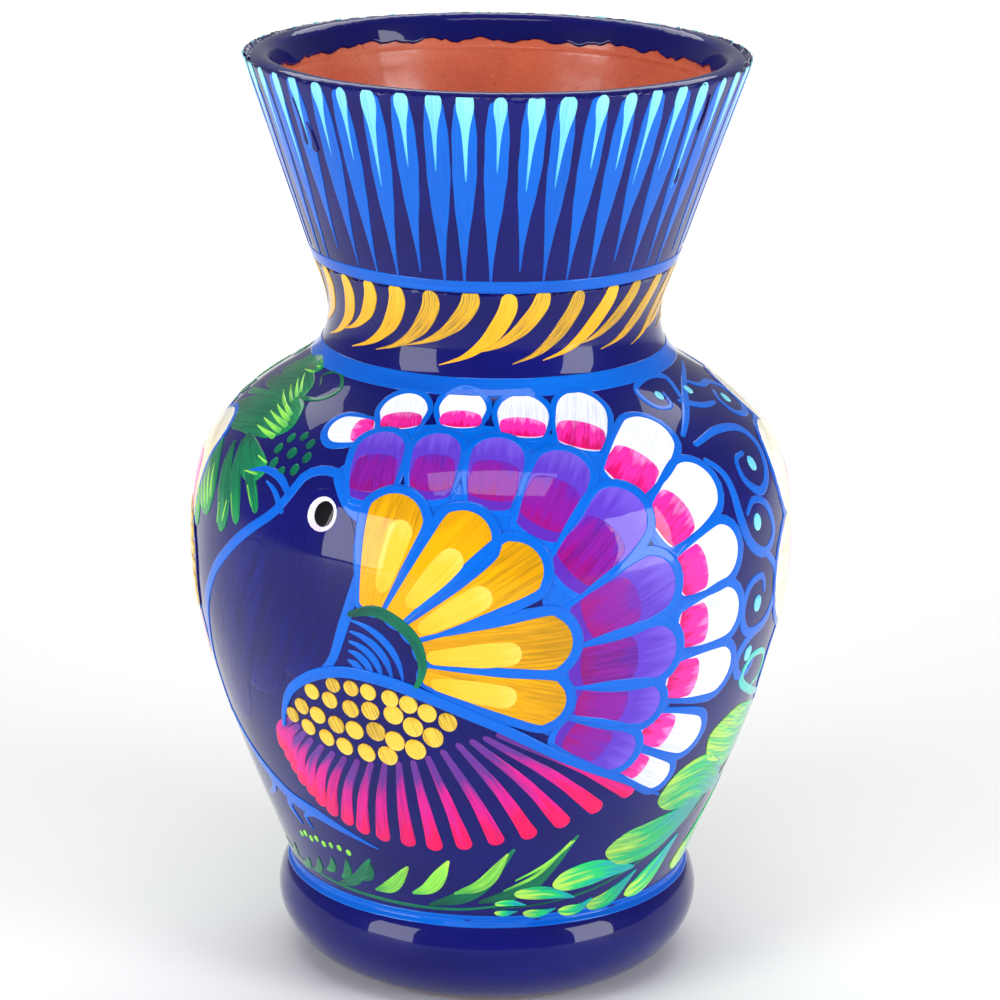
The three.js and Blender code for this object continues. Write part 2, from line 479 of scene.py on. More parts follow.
for field in (line_place, line_outward):
    ends = [
        add(surface, "GeometryNodeSampleIndex", line, field, index, data_type="FLOAT_VECTOR", clamp=True)
        for index in (whole, next_row)
    ]
    between = add(surface, "ShaderNodeMix", part, *ends, data_type="VECTOR")
    turned.append(about_axis(surface, between, turn))
waviness = add(surface, "ShaderNodeTexNoise", turned[0], 55.0, 1.0)
waviness = maths("MULTIPLY", maths("SUBTRACT", waviness, 0.5), 2 * UNEVENNESS)
lift = maths("MULTIPLY", maths("ADD", given["Height"], waviness), 0.001)
place = vector_maths("ADD", turned[0], vector_maths("SCALE", turned[1], lift))
surface.links.new(place, surface.nodes.new("NodeGroupOutput").inputs[0])


def on_surface(tree, across, up, height, meridian_socket):
    node = tree.nodes.new("GeometryNodeGroup")
    node.node_tree = surface
    for socket, feed in zip(node.inputs, (across, up, height, meridian_socket)):
        tree.links.new(feed, socket)
    return node.outputs[0]


def store(tree, geometry, name, value, data_type="FLOAT_VECTOR", domain="POINT"):
    return add(
        tree, "GeometryNodeStoreNamedAttribute", geometry, None, name, value,
        data_type=data_type, domain=domain,
    )


def combine(tree, x, y=0.0, z=0.0):
    return add(tree, "ShaderNodeCombineXYZ", x, y, z)


# Painted sheet: a closed skin of paint all round the vase between two rows, with wandering edges.
tree, given = new_tree(
    "Painted sheet",
    Low="Float", High="Float", Low_wander="Float", High_wander="Float", Wander_scale="Float",
    Base="Float", Thickness="Float", Rounding="Float", Around="Int", Top_rows="Int",
    Under_rows="Int", Seed="Float", Meridian="Object", Material="Material",
)
row_count = maths("ADD", given["Top rows"], given["Under rows"])
grid = add(
    tree, "GeometryNodeMeshGrid", 1.0, 1.0,
    maths("ADD", given["Around"], 1.0), maths("ADD", row_count, 1.0),
)
shares = add(tree, "ShaderNodeSeparateXYZ", add(tree, "GeometryNodeInputPosition")).node.outputs
way_round = maths("MULTIPLY", shares["X"], ONCE_ROUND)
way_over = maths("ADD", shares["Y"], 0.5)
top_share = maths("DIVIDE", given["Top rows"], row_count)
on_top = maths("DIVIDE", way_over, top_share)
underneath = maths(
    "DIVIDE", maths("SUBTRACT", 1.0, way_over), maths("SUBTRACT", 1.0, top_share)
)
is_under = maths("GREATER_THAN", maths("SUBTRACT", way_over, 1e-5), top_share)
share = add(tree, "ShaderNodeMix", is_under, on_top, underneath, data_type="FLOAT")
share = maths("COSINE", maths("MULTIPLY", share, math.pi))
share = maths("MULTIPLY_ADD", share, -0.5, 0.5)
edges = []
angle = maths("DIVIDE", way_round, BELLY_RADIUS)
for side, offset in (("Low", 0.0), ("High", 20.0)):
    ring = combine(
        tree, maths("COSINE", angle), maths("SINE", angle),
        maths("ADD", given["Seed"], offset),
    )
    wander = add(tree, "ShaderNodeTexNoise", ring, given["Wander scale"], 4.0, 0.6)
    wander = maths("MULTIPLY", maths("SUBTRACT", wander, 0.5), given[side + " wander"])
    edges.append(maths("ADD", given[side], wander))
up = add(tree, "ShaderNodeMix", share, *edges, data_type="FLOAT")
from_edge = maths(
    "MINIMUM", maths("SUBTRACT", up, edges[0]), maths("SUBTRACT", edges[1], up)
)
rounded = maths("MINIMUM", maths("DIVIDE", from_edge, given["Rounding"]), 1.0)
short = maths("SUBTRACT", 1.0, rounded)
dome = maths("SQRT", maths("SUBTRACT", 1.0, maths("MULTIPLY", short, short)))
dome = maths("MULTIPLY", dome, maths("SUBTRACT", 1.0, is_under))
height = maths("MULTIPLY_ADD", dome, given["Thickness"], given["Base"])
in_metres = vector_maths("MULTIPLY", combine(tree, way_round, up), (1e-3, 1e-3, 0.0))
sheet = store(tree, grid, "brush", in_metres)
sheet = add(
    tree, "GeometryNodeSetPosition", sheet, None, on_surface(tree, way_round, up, height, given["Meridian"])
)
sheet = add(tree, "GeometryNodeMergeByDistance", sheet, None, MERGE_GAP)
end_tree(tree, sheet, given["Material"])
painted_sheet = tree


def varnished(tree, colour_socket, height, gloss=0.3, strength=0.3, distance=0.0002):
    """Ends a paint material: brushed paint below, clear lacquer with its own ripple on top."""
    clear = use_group(tree, lacquer, Gloss=gloss)
    both = maths("MULTIPLY_ADD", clear["Height"], LACQUER_SHARE, height)
    normal = bump(both, strength, distance)
    finish_with(
        tree,
        {"Base Color": colour_socket, "Roughness": clear["Roughness"], "Normal": normal},
        Coat_Weight=1.0,
        Coat_Roughness=0.02,
        Coat_IOR=1.32,
        Specular_IOR_Level=0.03,
    )


def round_brushed(name, body, deep, pale):
    """Paint brushed round the vase: faint level brush marks, deeper where two strokes overlap."""
    material, tree = new_material(name)
    place = tree.nodes.new("ShaderNodeTexCoord").outputs["Object"]
    marks = noise(vector_maths("MULTIPLY", place, (22.0, 22.0, 900.0)), 1.0, 3.0, 0.6)
    laps = noise(vector_maths("MULTIPLY", place, (20.0, 20.0, 70.0)), 1.0, 3.0)
    shade = blend_colours(spread(laps, 0.38, 0.62), colour(*deep), colour(*body))
    shade = blend_colours(spread(marks, 0.5, 0.8, 0.0, 0.55), shade, colour(*pale))
    varnished(tree, shade, marks, strength=0.22)
    return material


cobalt = round_brushed("cobalt_paint", (10, 12, 104), (7, 8, 92), (18, 20, 118))
coat = mesh_object("cobalt_coat_skin", [(0, 0, 0)])
run_tree(
    coat, painted_sheet,
    Low=float(even_rows[0]) + COAT_LOW, High=float(even_rows[-1]) + COAT_HIGH,
    Low_wander=0.0, High_wander=10.0, Wander_scale=7.0,
    Base=-COAT_THICKNESS, Thickness=COAT_THICKNESS, Rounding=0.8,
    Around=300, Top_rows=COAT_TOP_ROWS, Under_rows=COAT_UNDER_ROWS, Seed=3.0,
    Meridian=meridian_line, Material=cobalt,
)
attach(coat, "root")
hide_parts("cobalt_coat")

# ------------------------------------------------------------
# Bands. Three rings of bright blue acrylic, banded on with a flat brush while the vase turns:
# in the groove over the foot, at the foot of the neck and at the foot of the collar.
PAINT_BASE = -0.05  # paint is keyed a little into what it lies on
bright_blue = round_brushed("bright_blue_paint", (0, 102, 214), (0, 86, 196), (10, 116, 228))
for number, node in enumerate(("foot_band", "neck_band", "collar_band")):
    low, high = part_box(node)
    band = mesh_object("brushed_" + node, [(0, 0, 0)])
    run_tree(
        band, painted_sheet,
        Low=row_at(low.z), High=row_at(high.z), Low_wander=0.9, High_wander=0.9,
        Wander_scale=2.6, Base=PAINT_BASE, Thickness=0.25, Rounding=0.5,
        Around=240, Top_rows=16, Under_rows=4, Seed=7.0 + number,
        Meridian=meridian_line, Material=bright_blue,
    )
    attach(band, "root")
    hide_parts(node)

# ------------------------------------------------------------
# Collar stripes. Long tapering strokes of bright blue pulled down from the lip to the collar
# band, each with a short drop of pale turquoise laid over its broad end while it is still wet.
EDGE = 0.45  # how wide the rounded edge of a stroke is
ORDER_LIFT = 0.0012  # each stroke of a piece lies this much over the one before
LINE_STEP = 0.25  # millimetres between the points of a smoothed path
ALONG_STEP = 1.6  # and between the rows of a stroke's body
ACROSS_STEP = 1.8  # and between the points of one row
CAP_ROWS = 6  # rows that round off either end of a stroke
SWAY_LENGTHS = (5.5, 2.3)  # how fast a stroke's width sways along it
THINNEST = 0.03  # half the width of a stroke where it runs out
BRISTLE_DEPTH = 0.12  # how uneven a stroke's top is, as a share of its thickness
STRIPE_COUNT = 49
STROKES_BELOW_LIP = 9.8  # rows from the lip's top to the broad ends of the stripes


def cubic_widths(widths, shares):
    """Widths along a stroke, run smoothly through the given ones, which are evenly spaced."""
    widths = np.asarray(widths, float)
    if len(widths) < 3:
        return np.interp(shares, np.linspace(0, 1, len(widths)), widths)
    knots = np.column_stack([np.linspace(0, 1, len(widths)), widths])
    line = catmull_rom(knots, 0.02)
    return np.maximum(np.interp(shares, line[:, 0], line[:, 1]), 0.0)


class Strokes:
    """Brush strokes drawn on the flat sheet, each a closed, domed body of paint."""

    def __init__(self, seed, lift=0.0, thickness=0.12):
        self.random = np.random.default_rng(seed)
        self.lift, self.thickness = lift, thickness
        self.points, self.faces, self.brush, self.stroke, self.load = [], [], [], [], []
        self.count = 0

    def draw(self, path, widths, start=None, end=None, wobble=0.04):
        """One stroke along a path. start and end are how long its rounded ends are."""
        line = catmull_rom(path, LINE_STEP)
        travel = np.r_[0, np.cumsum(np.linalg.norm(np.diff(line, axis=0), axis=1))]
        total = travel[-1]
        width_at_ends = cubic_widths(widths, np.array([0.0, 1.0])) / 2
        caps = [
            min(half if cap is None else cap, total / 2.1)
            for cap, half in zip((start, end), width_at_ends)
        ]
        eased = 1 - np.cos(np.linspace(0, math.pi / 2, CAP_ROWS))
        middle_count = int(np.clip((total - sum(caps)) / ALONG_STEP, 3, 60))
        middle = np.linspace(caps[0], total - caps[1], middle_count + 1)
        along = np.r_[caps[0] * eased[:-1], middle, total - caps[1] * eased[-2::-1]]
        half = cubic_widths(widths, along / total) / 2
        for cap, from_end in zip(caps, (along, total - along)):
            half = half * np.sqrt(1 - np.clip(1 - from_end / cap, 0, 1) ** 2)
        sway = sum(np.sin(along / length + self.random.uniform(0, 6)) for length in SWAY_LENGTHS)
        half = np.maximum(half * (1 + wobble * sway / 2), THINNEST)
        centre = np.column_stack([np.interp(along, travel, line[:, i]) for i in (0, 1)])
        tangent = np.gradient(line, axis=0)
        tangent = np.column_stack([np.interp(along, travel, tangent[:, i]) for i in (0, 1)])
        tangent /= np.linalg.norm(tangent, axis=1)[:, None]
        side = np.column_stack([-tangent[:, 1], tangent[:, 0]])
        self.add_body(centre, side, half, along, total)

    def dot(self, place, width, height, tilt=0.0):
        """A dab of the brush tip: a short, nearly round stroke."""
        turn = math.radians(tilt)
        half = np.array((-math.sin(turn), math.cos(turn))) * height / 2
        spot = np.array(place, float)
        self.draw([spot - half, spot + half], [width, width], start=height / 2, end=height / 2)

    def add_body(self, centre, side, half, along, total):
        inner = max(3, int(math.ceil(2 * half.max() / ACROSS_STEP)))
        edge = np.minimum(EDGE, 0.6 * half)[:, None]
        rim = edge * np.array([0.0, 0.2, 0.55])
        across = half[:, None] - edge
        middle = across * np.linspace(-1, 1, inner + 1)
        offset = np.hstack([rim - half[:, None], middle, (half[:, None] - rim)[:, ::-1]])
        dome = np.r_[0.0, 0.6, 0.9, np.ones(inner + 1), 0.9, 0.6, 0.0]
        uneven = self.random.uniform(-BRISTLE_DEPTH, BRISTLE_DEPTH, inner + 1)
        bristles = np.r_[np.zeros(3), uneven, np.zeros(3)]
        body = self.thickness * np.minimum(1.0, half / EDGE)[:, None] * (dome + bristles)
        lift = self.lift + ORDER_LIFT * self.count
        height = np.where(dome[None, :] > 0, lift + body, PAINT_BASE)
        flat = centre[:, None, :] + side[:, None, :] * offset[:, :, None]
        rows, columns = offset.shape
        first = sum(len(p) for p in self.points)
        self.points.append(np.dstack([flat, height[:, :, None]]).reshape(-1, 3))
        index = first + np.arange(rows * columns).reshape(rows, columns)
        top = np.stack([index[:-1, :-1], index[1:, :-1], index[1:, 1:], index[:-1, 1:]], -1)
        under = np.stack([index[:-1, 0], index[:-1, -1], index[1:, -1], index[1:, 0]], -1)
        self.faces += top.reshape(-1, 4).tolist() + under.tolist()
        self.faces += [index[0].tolist(), index[-1, ::-1].tolist()]
        spread_along = np.repeat(along[:, None], columns, axis=1)
        stroke_number = np.full(offset.shape, self.count * 0.37)
        self.brush.append(np.stack([spread_along / 1000, offset / 1000, stroke_number], -1).reshape(-1, 3))
        share = np.clip(offset / half.max(), -1, 1)
        self.stroke.append(np.stack([spread_along / total, share, 0 * share], -1).reshape(-1, 3))
        self.load.append(np.full(rows * columns, self.random.uniform()))
        self.count += 1

    def flat_piece(self, name, with_load=True):
        piece = mesh_object(name, np.vstack(self.points), faces=self.faces)
        write_attribute(piece, "brush", np.vstack(self.brush), "FLOAT_VECTOR")
        write_attribute(piece, "stroke", np.vstack(self.stroke), "FLOAT_VECTOR")
        if with_load:
            write_attribute(piece, "load", np.hstack(self.load))
        return piece

    def lay(self, name, material, slot=None):
        """Lays the strokes on the vase as one piece."""
        lay_piece(self.flat_piece(name), laid_strokes, material, slot)


def lay_piece(piece, tree, material, slot, **inputs):
    run_tree(piece, tree, Meridian=meridian_line, Material=material, **inputs)
    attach(piece, "root")


def wrapped(tree, geometry, meridian_socket):
    """Takes flat strokes off the drawing and wraps them on the vase."""
    flat = add(tree, "ShaderNodeSeparateXYZ", add(tree, "GeometryNodeInputPosition")).node.outputs
    place = on_surface(tree, flat["X"], flat["Y"], flat["Z"], meridian_socket)
    return add(tree, "GeometryNodeSetPosition", geometry, None, place)


# Laid strokes: strokes that are drawn where they belong, wrapped on the vase.
tree, given = new_tree("Laid strokes", Meridian="Object", Material="Material")
end_tree(tree, wrapped(tree, given["Geometry"], given["Meridian"]), given["Material"])
laid_strokes = tree

# Ring of strokes: one flat stroke repeated round the vase, each copy a little different.
tree, given = new_tree(
    "Ring of strokes",
    Count="Int", Row="Float", Start="Float", Drift="Float", Rise="Float", Tilt="Float",
    Stretch="Float", Seed="Int", Meridian="Object", Material="Material",
)
spacing = maths("DIVIDE", ONCE_ROUND, given["Count"])
first_place = combine(tree, given["Start"], given["Row"])
places = add(
    tree, "GeometryNodeMeshLine", given["Count"], first_place, combine(tree, spacing), mode="OFFSET"
)


def scatter(low, high, seed_step):
    """A random value for each copy, between two sizes."""
    seed = maths("ADD", given["Seed"], seed_step)
    return add(tree, "FunctionNodeRandomValue", low, high, None, seed, data_type="FLOAT")


def minus(socket):
    return maths("MULTIPLY", socket, -1.0)


shift = combine(
    tree,
    scatter(minus(given["Drift"]), given["Drift"], 1.0),
    scatter(minus(given["Rise"]), given["Rise"], 2.0),
    maths("MULTIPLY", add(tree, "GeometryNodeInputIndex"), ORDER_LIFT),
)
places = add(tree, "GeometryNodeSetPosition", places, None, None, shift)
rotation = combine(tree, 0.0, 0.0, scatter(minus(given["Tilt"]), given["Tilt"], 3.0))
broader = maths("ADD", 1.0, scatter(minus(given["Stretch"]), given["Stretch"], 4.0))
longer = maths("ADD", 1.0, scatter(minus(given["Stretch"]), given["Stretch"], 5.0))
copies = add(
    tree, "GeometryNodeInstanceOnPoints", places, None, given["Geometry"], None, None,
    rotation, combine(tree, broader, longer, 1.0),
)
copies = store(tree, copies, "load", scatter(0.0, 1.0, 6.0), "FLOAT", "INSTANCE")
copies = add(tree, "GeometryNodeRealizeInstances", copies)
end_tree(tree, wrapped(tree, copies, given["Meridian"]), given["Material"])
stroke_ring = tree

# Brush marks: colour along a stroke from its start to its end, with streaks where the bristles
# ran dry and the paint below shows through.
brush_marks, given, put_out = shader_group(
    "Brush marks",
    {
        "Start": ("Color", (1, 1, 1, 1)),
        "Body": ("Color", (1, 1, 1, 1)),
        "End": ("Color", (1, 1, 1, 1)),
        "Thin": ("Color", (0, 0, 0, 1)),
        "Start share": ("Float", 0.3),
        "End share": ("Float", 0.8),
        "Streaks": ("Float", 0.3),
        "Dryness": ("Float", 0.2),
    },
    {"Colour": "Color", "Height": "Float"},
)
marks = add(brush_marks, "ShaderNodeAttribute", attribute_name="brush").node.outputs["Vector"]
shares = add(brush_marks, "ShaderNodeAttribute", attribute_name="stroke").node.outputs["Vector"]
load = add(brush_marks, "ShaderNodeAttribute", attribute_name="load").node.outputs["Fac"]
share_along = add(brush_marks, "ShaderNodeSeparateXYZ", shares)
streak = noise(vector_maths("MULTIPLY", marks, (60.0, 1500.0, 9.0)), 1.0, 3.0, 0.6)
broad_streak = noise(vector_maths("MULTIPLY", marks, (45.0, 420.0, 9.0)), 1.0, 2.0)
raked = maths("MULTIPLY", maths("SUBTRACT", broad_streak, 0.5), given["Streaks"])
raked = maths("MULTIPLY_ADD", raked, 2.0, share_along)
from_start = maths("SUBTRACT", raked, given["Start share"])
from_start = spread(from_start, -0.14, 0.14)
to_end = spread(maths("SUBTRACT", raked, given["End share"]), -0.12, 0.12)
shade = blend_colours(from_start, given["Start"], given["Body"])
shade = blend_colours(to_end, shade, given["End"])
empty = spread(load, 0.0, 1.0, -0.6, 0.4)
dry = maths("ADD", spread(streak, 0.42, 0.68), empty)
dry = maths("MULTIPLY", spread(dry, 0.2, 0.9), given["Dryness"])
shade = blend_colours(dry, shade, given["Thin"])
brush_marks.links.new(shade, put_out["Colour"])
brush_marks.links.new(streak, put_out["Height"])


def brushed(name, start, body, end, thin, dryness, start_share=0.2, end_share=0.85, streaks=0.3):
    """A paint that was brushed on in strokes: its colours along a stroke, and where it runs thin."""
    material, tree = new_material(name)
    marks = use_group(
        tree, brush_marks, Start=colour(*start), Body=colour(*body), End=colour(*end),
        Thin=colour(*thin), Start_share=start_share, End_share=end_share, Streaks=streaks,
        Dryness=dryness,
    )
    varnished(tree, marks["Colour"], marks["Height"])
    return material


def ring_of(name, strokes, material, slot=None, **inputs):
    """Repeats one stroke round the vase as one piece."""
    lay_piece(strokes.flat_piece(name, with_load=False), stroke_ring, material, slot, **inputs)


collar_band_top = row_at(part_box("collar_band")[1].z)
lip_edge = lip_row - STROKES_BELOW_LIP
stripe_length = lip_edge - collar_band_top

stripe_blue = brushed(
    "stripe_blue_paint", (0, 104, 218), (0, 100, 212), (0, 90, 200), (4, 60, 164), dryness=0.25
)
stripe = Strokes(11, thickness=0.14)
stripe.draw(
    [(0.6, 0), (0.4, -0.3 * stripe_length), (-0.6, -0.7 * stripe_length), (-0.9, -stripe_length)],
    [5.2, 7.4, 7.8, 6.3, 4.0, 1.9, 0.5], start=2.0,
)
ring_of(
    "collar_stripes", stripe, stripe_blue, "bright_blue_paint",
    Count=STRIPE_COUNT, Row=lip_edge, Start=0.0, Drift=1.0, Rise=0.8, Tilt=0.012, Stretch=0.09, Seed=21,
)
pale_turquoise = brushed(
    "pale_turquoise_paint", (150, 236, 240), (124, 222, 240), (80, 190, 238), (40, 140, 230),
    dryness=0.3,
)
drop = Strokes(12, lift=0.1, thickness=0.1)
drop_length = 0.42 * stripe_length
drop.draw(
    [(0.4, 1.5), (0.2, -0.3 * drop_length), (-0.2, -0.7 * drop_length), (-0.4, -drop_length)],
    [4.2, 4.5, 2.9, 1.8, 1.2, 0.8, 0.3], start=2.6,
)
ring_of(
    "turquoise_drops", drop, pale_turquoise,
    Count=STRIPE_COUNT, Row=lip_edge, Start=0.6, Drift=0.9, Rise=0.9, Tilt=0.02, Stretch=0.22, Seed=31,
)

# ------------------------------------------------------------
# Drips. The navy coat on the lip was touched up last, and a little of it ran down over the
# stripes and dried there in thin runs, each with a bead at its end.
drips = Strokes(14, lift=0.2, thickness=0.16)
for across, start, run, width in (
    (-73, -6, 17, 2.2), (-69, -14, 11, 3.2), (72, -30, 6, 3), (77, -4, 13, 2),
    (150, -8, 15, 2.4), (-170, -5, 12, 2),
):
    top = lip_edge + start
    drips.draw(
        [(across, top), (across + 0.8, top - 0.5 * run), (across + 0.4, top - run)],
        [0.6 * width, 0.5 * width, 0.8 * width, width], start=1.5, end=1.6, wobble=0.2,
    )
drips.lay("cobalt_drips", cobalt, "cobalt_paint")

# ------------------------------------------------------------
# Neck commas. One press of a round brush each: warm yellow, a full round head under the collar
# band and a tail that is flicked away down to the left.
COMMA_COUNT = 31
COMMA_DROP = 3.4  # rows from the collar band to the heads of the commas

neck_yellow = brushed(
    "neck_yellow_paint", (255, 200, 54), (252, 184, 34), (236, 170, 40), (128, 116, 60),
    dryness=0.75, streaks=0.4,
)
neck_top = row_at(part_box("collar_band")[0].z) - COMMA_DROP
comma = Strokes(13, thickness=0.16)
comma.draw(
    [(0, 0), (-1, -9), (-8, -20.5), (-19, -29), (-32, -33.5)], [6.2, 8, 7.4, 4.8, 2, 0.4], start=3.2
)
ring_of(
    "neck_commas", comma, neck_yellow,
    Count=COMMA_COUNT, Row=neck_top, Start=5.0, Drift=1.2, Rise=0.8, Tilt=0.06, Stretch=0.1, Seed=44,
)

# ------------------------------------------------------------
# Tail fan. Three rows of scallops spread from the bird's rump: white tipped, lilac and amber.
# Each row has a blue ground and a thin blue line round every scallop, and the outer two rows have
# a second, shorter stroke in each. Painted outermost row first, with a flat brush.
OUTLINE = 1.7  # how far the blue ground shows round a scallop
TIP_ROUNDNESS = 0.46  # length of a scallop's round tip, as a share of its width
RIM_WIDTH = 2.6
OUTER_SCALLOPS = [
    ((-42, 165), (-60, 162), 13), ((-33, 167), (-37, 186), 20), ((-12, 170), (-12, 190), 20),
    ((10, 166), (13, 188), 21), ((28, 160), (39, 187), 21.5), ((37, 146), (62, 168), 20.5),
    ((45, 132), (69, 146), 18), ((50, 119), (74, 125), 16), ((51, 105), (75, 107.5), 15),
    ((49, 91), (75, 90), 15), ((44, 78), (68, 69), 14), ((39, 68), (59, 56), 11),
]
MIDDLE_SCALLOPS = [
    ((-34, 141), (-37, 166), 17.5), ((-17, 143), (-18, 168), 16.5), ((-1, 141), (3, 167), 18),
    ((11, 134), (25, 160), 18), ((18, 122), (41, 144), 18.5), ((21, 110), (50, 122), 17),
    ((20, 99), (52, 101), 16), ((20, 89), (49, 84.5), 13), ((19, 81), (43, 68), 14),
]
INNER_SCALLOPS = [
    ((-31, 113), (-24, 145), 17), ((-25, 111), (-2, 140), 16), ((-21, 108), (13, 130), 16),
    ((-18, 104), (22, 107), 16), ((-17, 97), (21, 88), 15),
]
FAN_GROUND = [
    (
        [(-46, 150), (-34, 140), (-17, 142), (-1, 140), (12, 131), (19, 121), (20, 110), (19, 98),
         (19, 88), (16, 79)],
        [8, 13, 14, 13, 9],
    ),
    (
        [(-46, 164), (-33, 165), (-12, 168), (10, 165), (28, 159), (38, 145), (47, 132), (51, 118),
         (52, 104), (50, 90), (44, 76), (38, 66)],
        [6, 9, 9, 9, 6],
    ),
]
AMBER_LIGHTS = [
    ((-28, 118), (-23, 137)), ((-21, 115), (-8, 130)), ((-18, 109), (0, 120)),
    ((-16, 102), (8, 104)), ((-15, 95), (7, 91)),
]


def scallop(strokes, root, tip, width, grow=0.0, root_share=0.7, roundness=TIP_ROUNDNESS):
    """A broad stroke from root to tip, ending in a half round."""
    root, tip = np.array(root, float), np.array(tip, float)
    heading = (tip - root) / np.linalg.norm(tip - root)
    width = width + 2 * grow
    strokes.draw(
        [root - grow * heading, (root + tip) / 2, tip + grow * heading],
        width * np.array([root_share, min(1, 0.42 + 0.75 * root_share), 1, 0.98]),
        start=1.6, end=roundness * width,
    )


def rim(strokes, root, tip, width, line_width, root_share):
    """The line round a scallop: up one side, over its tip and down the other."""
    root, tip = np.array(root, float), np.array(tip, float)
    heading = (tip - root) / np.linalg.norm(tip - root)
    side = np.array((-heading[1], heading[0])) * width / 2
    top = tip - TIP_ROUNDNESS * width * heading
    over = [
        top + side * math.cos(t) + TIP_ROUNDNESS * width * heading * math.sin(t)
        for t in np.radians(range(0, 181, 30))
    ]
    middle = side * (0.44 + 0.75 * root_share)
    up = [root + root_share * side, (root + top) / 2 + middle]
    down = [(root + top) / 2 - middle, root - root_share * side]
    strokes.draw([*up, *over, *down], [0.8, line_width, line_width, line_width, 0.8])


outline_blue = brushed(
    "outline_blue_paint", (0, 106, 222), (0, 102, 216), (0, 94, 208), (4, 64, 178), dryness=0.2
)
white_paint = brushed(
    "white_petal_paint", (226, 214, 240), (238, 242, 250), (250, 251, 255), (160, 170, 220),
    dryness=0.35, start_share=0.3,
)
pink_paint = brushed(
    "hot_pink_paint", (226, 10, 110), (255, 46, 170), (255, 130, 210), (160, 20, 90), dryness=0.5,
    streaks=0.7,
)
lilac_paint = brushed(
    "lilac_paint", (92, 40, 178), (96, 58, 200), (116, 88, 218), (66, 30, 140), dryness=0.3,
    start_share=0.3, end_share=0.8,
)
magenta_paint = brushed(
    "magenta_paint", (150, 10, 130), (136, 22, 160), (110, 34, 176), (70, 10, 100), dryness=0.5,
    streaks=0.6,
)
amber_paint = brushed(
    "amber_paint", (248, 172, 4), (242, 172, 2), (216, 154, 4), (104, 84, 16), dryness=0.42,
    streaks=0.5, start_share=0.3, end_share=0.78,
)
light_amber_paint = brushed(
    "light_amber_paint", (252, 190, 40), (254, 200, 62), (255, 210, 90), (240, 176, 30), dryness=0.4
)
for row_name, scallops, lift, root_share, block, petal_paint, root_paint in (
    ("outer", OUTER_SCALLOPS, 0.0, 0.62, (0.02, 0.44), white_paint, pink_paint),
    ("middle", MIDDLE_SCALLOPS, 0.16, 0.62, (0.1, 0.6), lilac_paint, magenta_paint),
    ("inner", INNER_SCALLOPS, 0.32, 0.34, None, amber_paint, None),
):
    ground = Strokes(101, lift=lift, thickness=0.1)
    petals = Strokes(102, lift=lift + 0.06, thickness=0.08)
    blocks = Strokes(103, lift=lift + 0.11, thickness=0.06)
    rims = Strokes(104, lift=lift + 0.12, thickness=0.1)
    if row_name == "outer":
        for path, widths in FAN_GROUND:
            ground.draw(path, widths)
    for root, tip, width in scallops:
        scallop(ground, root, tip, width, OUTLINE, root_share)
        scallop(petals, root, tip, width, 0, root_share)
        rim(rims, root, tip, width + 1, RIM_WIDTH, root_share)
        if block:
            low, high = (np.array(root) + share * (np.array(tip) - root) for share in block)
            scallop(blocks, low, high, 0.78 * width, 0, 0.86, 0.2)
    ground.lay(row_name + "_tail_ground", outline_blue, "bright_blue_paint")
    petals.lay(row_name + "_tail_scallops", petal_paint)
    rims.lay(row_name + "_tail_rims", outline_blue, "bright_blue_paint")
    if block:
        blocks.lay(row_name + "_tail_blocks", root_paint)
lights = Strokes(105, lift=0.47, thickness=0.1)
for root, tip in AMBER_LIGHTS:
    lights.draw([root, tip], [3.5, 6.5, 6.8], start=2, end=3.2)
lights.lay("inner_tail_lights", light_amber_paint)

# ------------------------------------------------------------
# Bird. Its body is a deeper navy than the ground, partly its own paint and partly painted shade,
# and is drawn with one flowing bright blue line; the rump is a green crescent with fine blue arcs
# inside it, and the eye is two dabs.
BACK_AND_BREAST = [
    (-46, 93), (-42, 98), (-39, 106), (-36, 115), (-33, 125), (-33, 133), (-35, 140), (-40, 145),
    (-47, 147.5), (-53, 147), (-57, 144), (-59, 139), (-63, 133), (-68, 129), (-76, 123),
    (-84, 116), (-90, 110), (-98, 99), (-103, 88), (-107, 77), (-106, 65), (-101, 58),
]
# Darker navy strokes over the breast: partly the bird's own deeper paint, partly painted shade.
BREAST_SHADOW = [
    ([(-50, 142), (-45, 128), (-48, 108), (-58, 90)], [12, 20, 22, 16]),
    ([(-56, 138), (-58, 122), (-66, 104), (-76, 82)], [10, 20, 26, 18]),
    ([(-66, 124), (-78, 106), (-88, 84), (-90, 66)], [8, 22, 24, 16]),
]
rump = np.array((-38.0, 94.0))

breast_navy = brushed(
    "breast_navy_paint", (10, 10, 104), (6, 6, 92), (12, 12, 112), (20, 24, 134), dryness=0.5
)
# The breast strokes are painted shade as well as deeper navy paint.
breast = Strokes(110, thickness=0.05)
for path, widths in BREAST_SHADOW:
    breast.draw(path, widths, start=6, end=8)
breast.lay("bird_breast", breast_navy)

outline = Strokes(111, lift=0.1, thickness=0.14)
outline.draw(BACK_AND_BREAST, [2.2, 3.2, 3, 3.2, 2.8, 3, 3.4, 3, 1.6])
outline.draw([(-104, 63), (-90, 52), (-75, 43), (-60, 39), (-46, 34), (-38, 31)], [1.4, 3.4, 5.2, 5, 3, 0.6])
outline.draw([(-82, 47), (-86, 41), (-94, 36)], [3.2, 2.4, 0.6])
outline.draw([(-72, 43), (-77, 38), (-73, 31)], [3.4, 2.6, 0.6])
outline.draw([(-62, 40), (-69, 36), (-67, 31)], [3, 2, 0.5])
outline.draw([(-79, 141), (-72, 143), (-65, 142), (-59, 138)], [0.6, 2.2, 2.6, 2])
outline.draw([(-70, 140), (-65, 138), (-60, 133)], [0.6, 1.8, 2])
for radius, width in ((4.5, 2.2), (7.2, 2.1), (9.8, 2), (12.6, 2), (15.6, 1.9)):
    arc = np.radians(np.linspace(84, 2, 7))
    outline.draw(rump + radius * np.column_stack([np.cos(arc), np.sin(arc)]), [0.6, width, width, 0.6])
outline.lay("bird_outline", outline_blue, "bright_blue_paint")

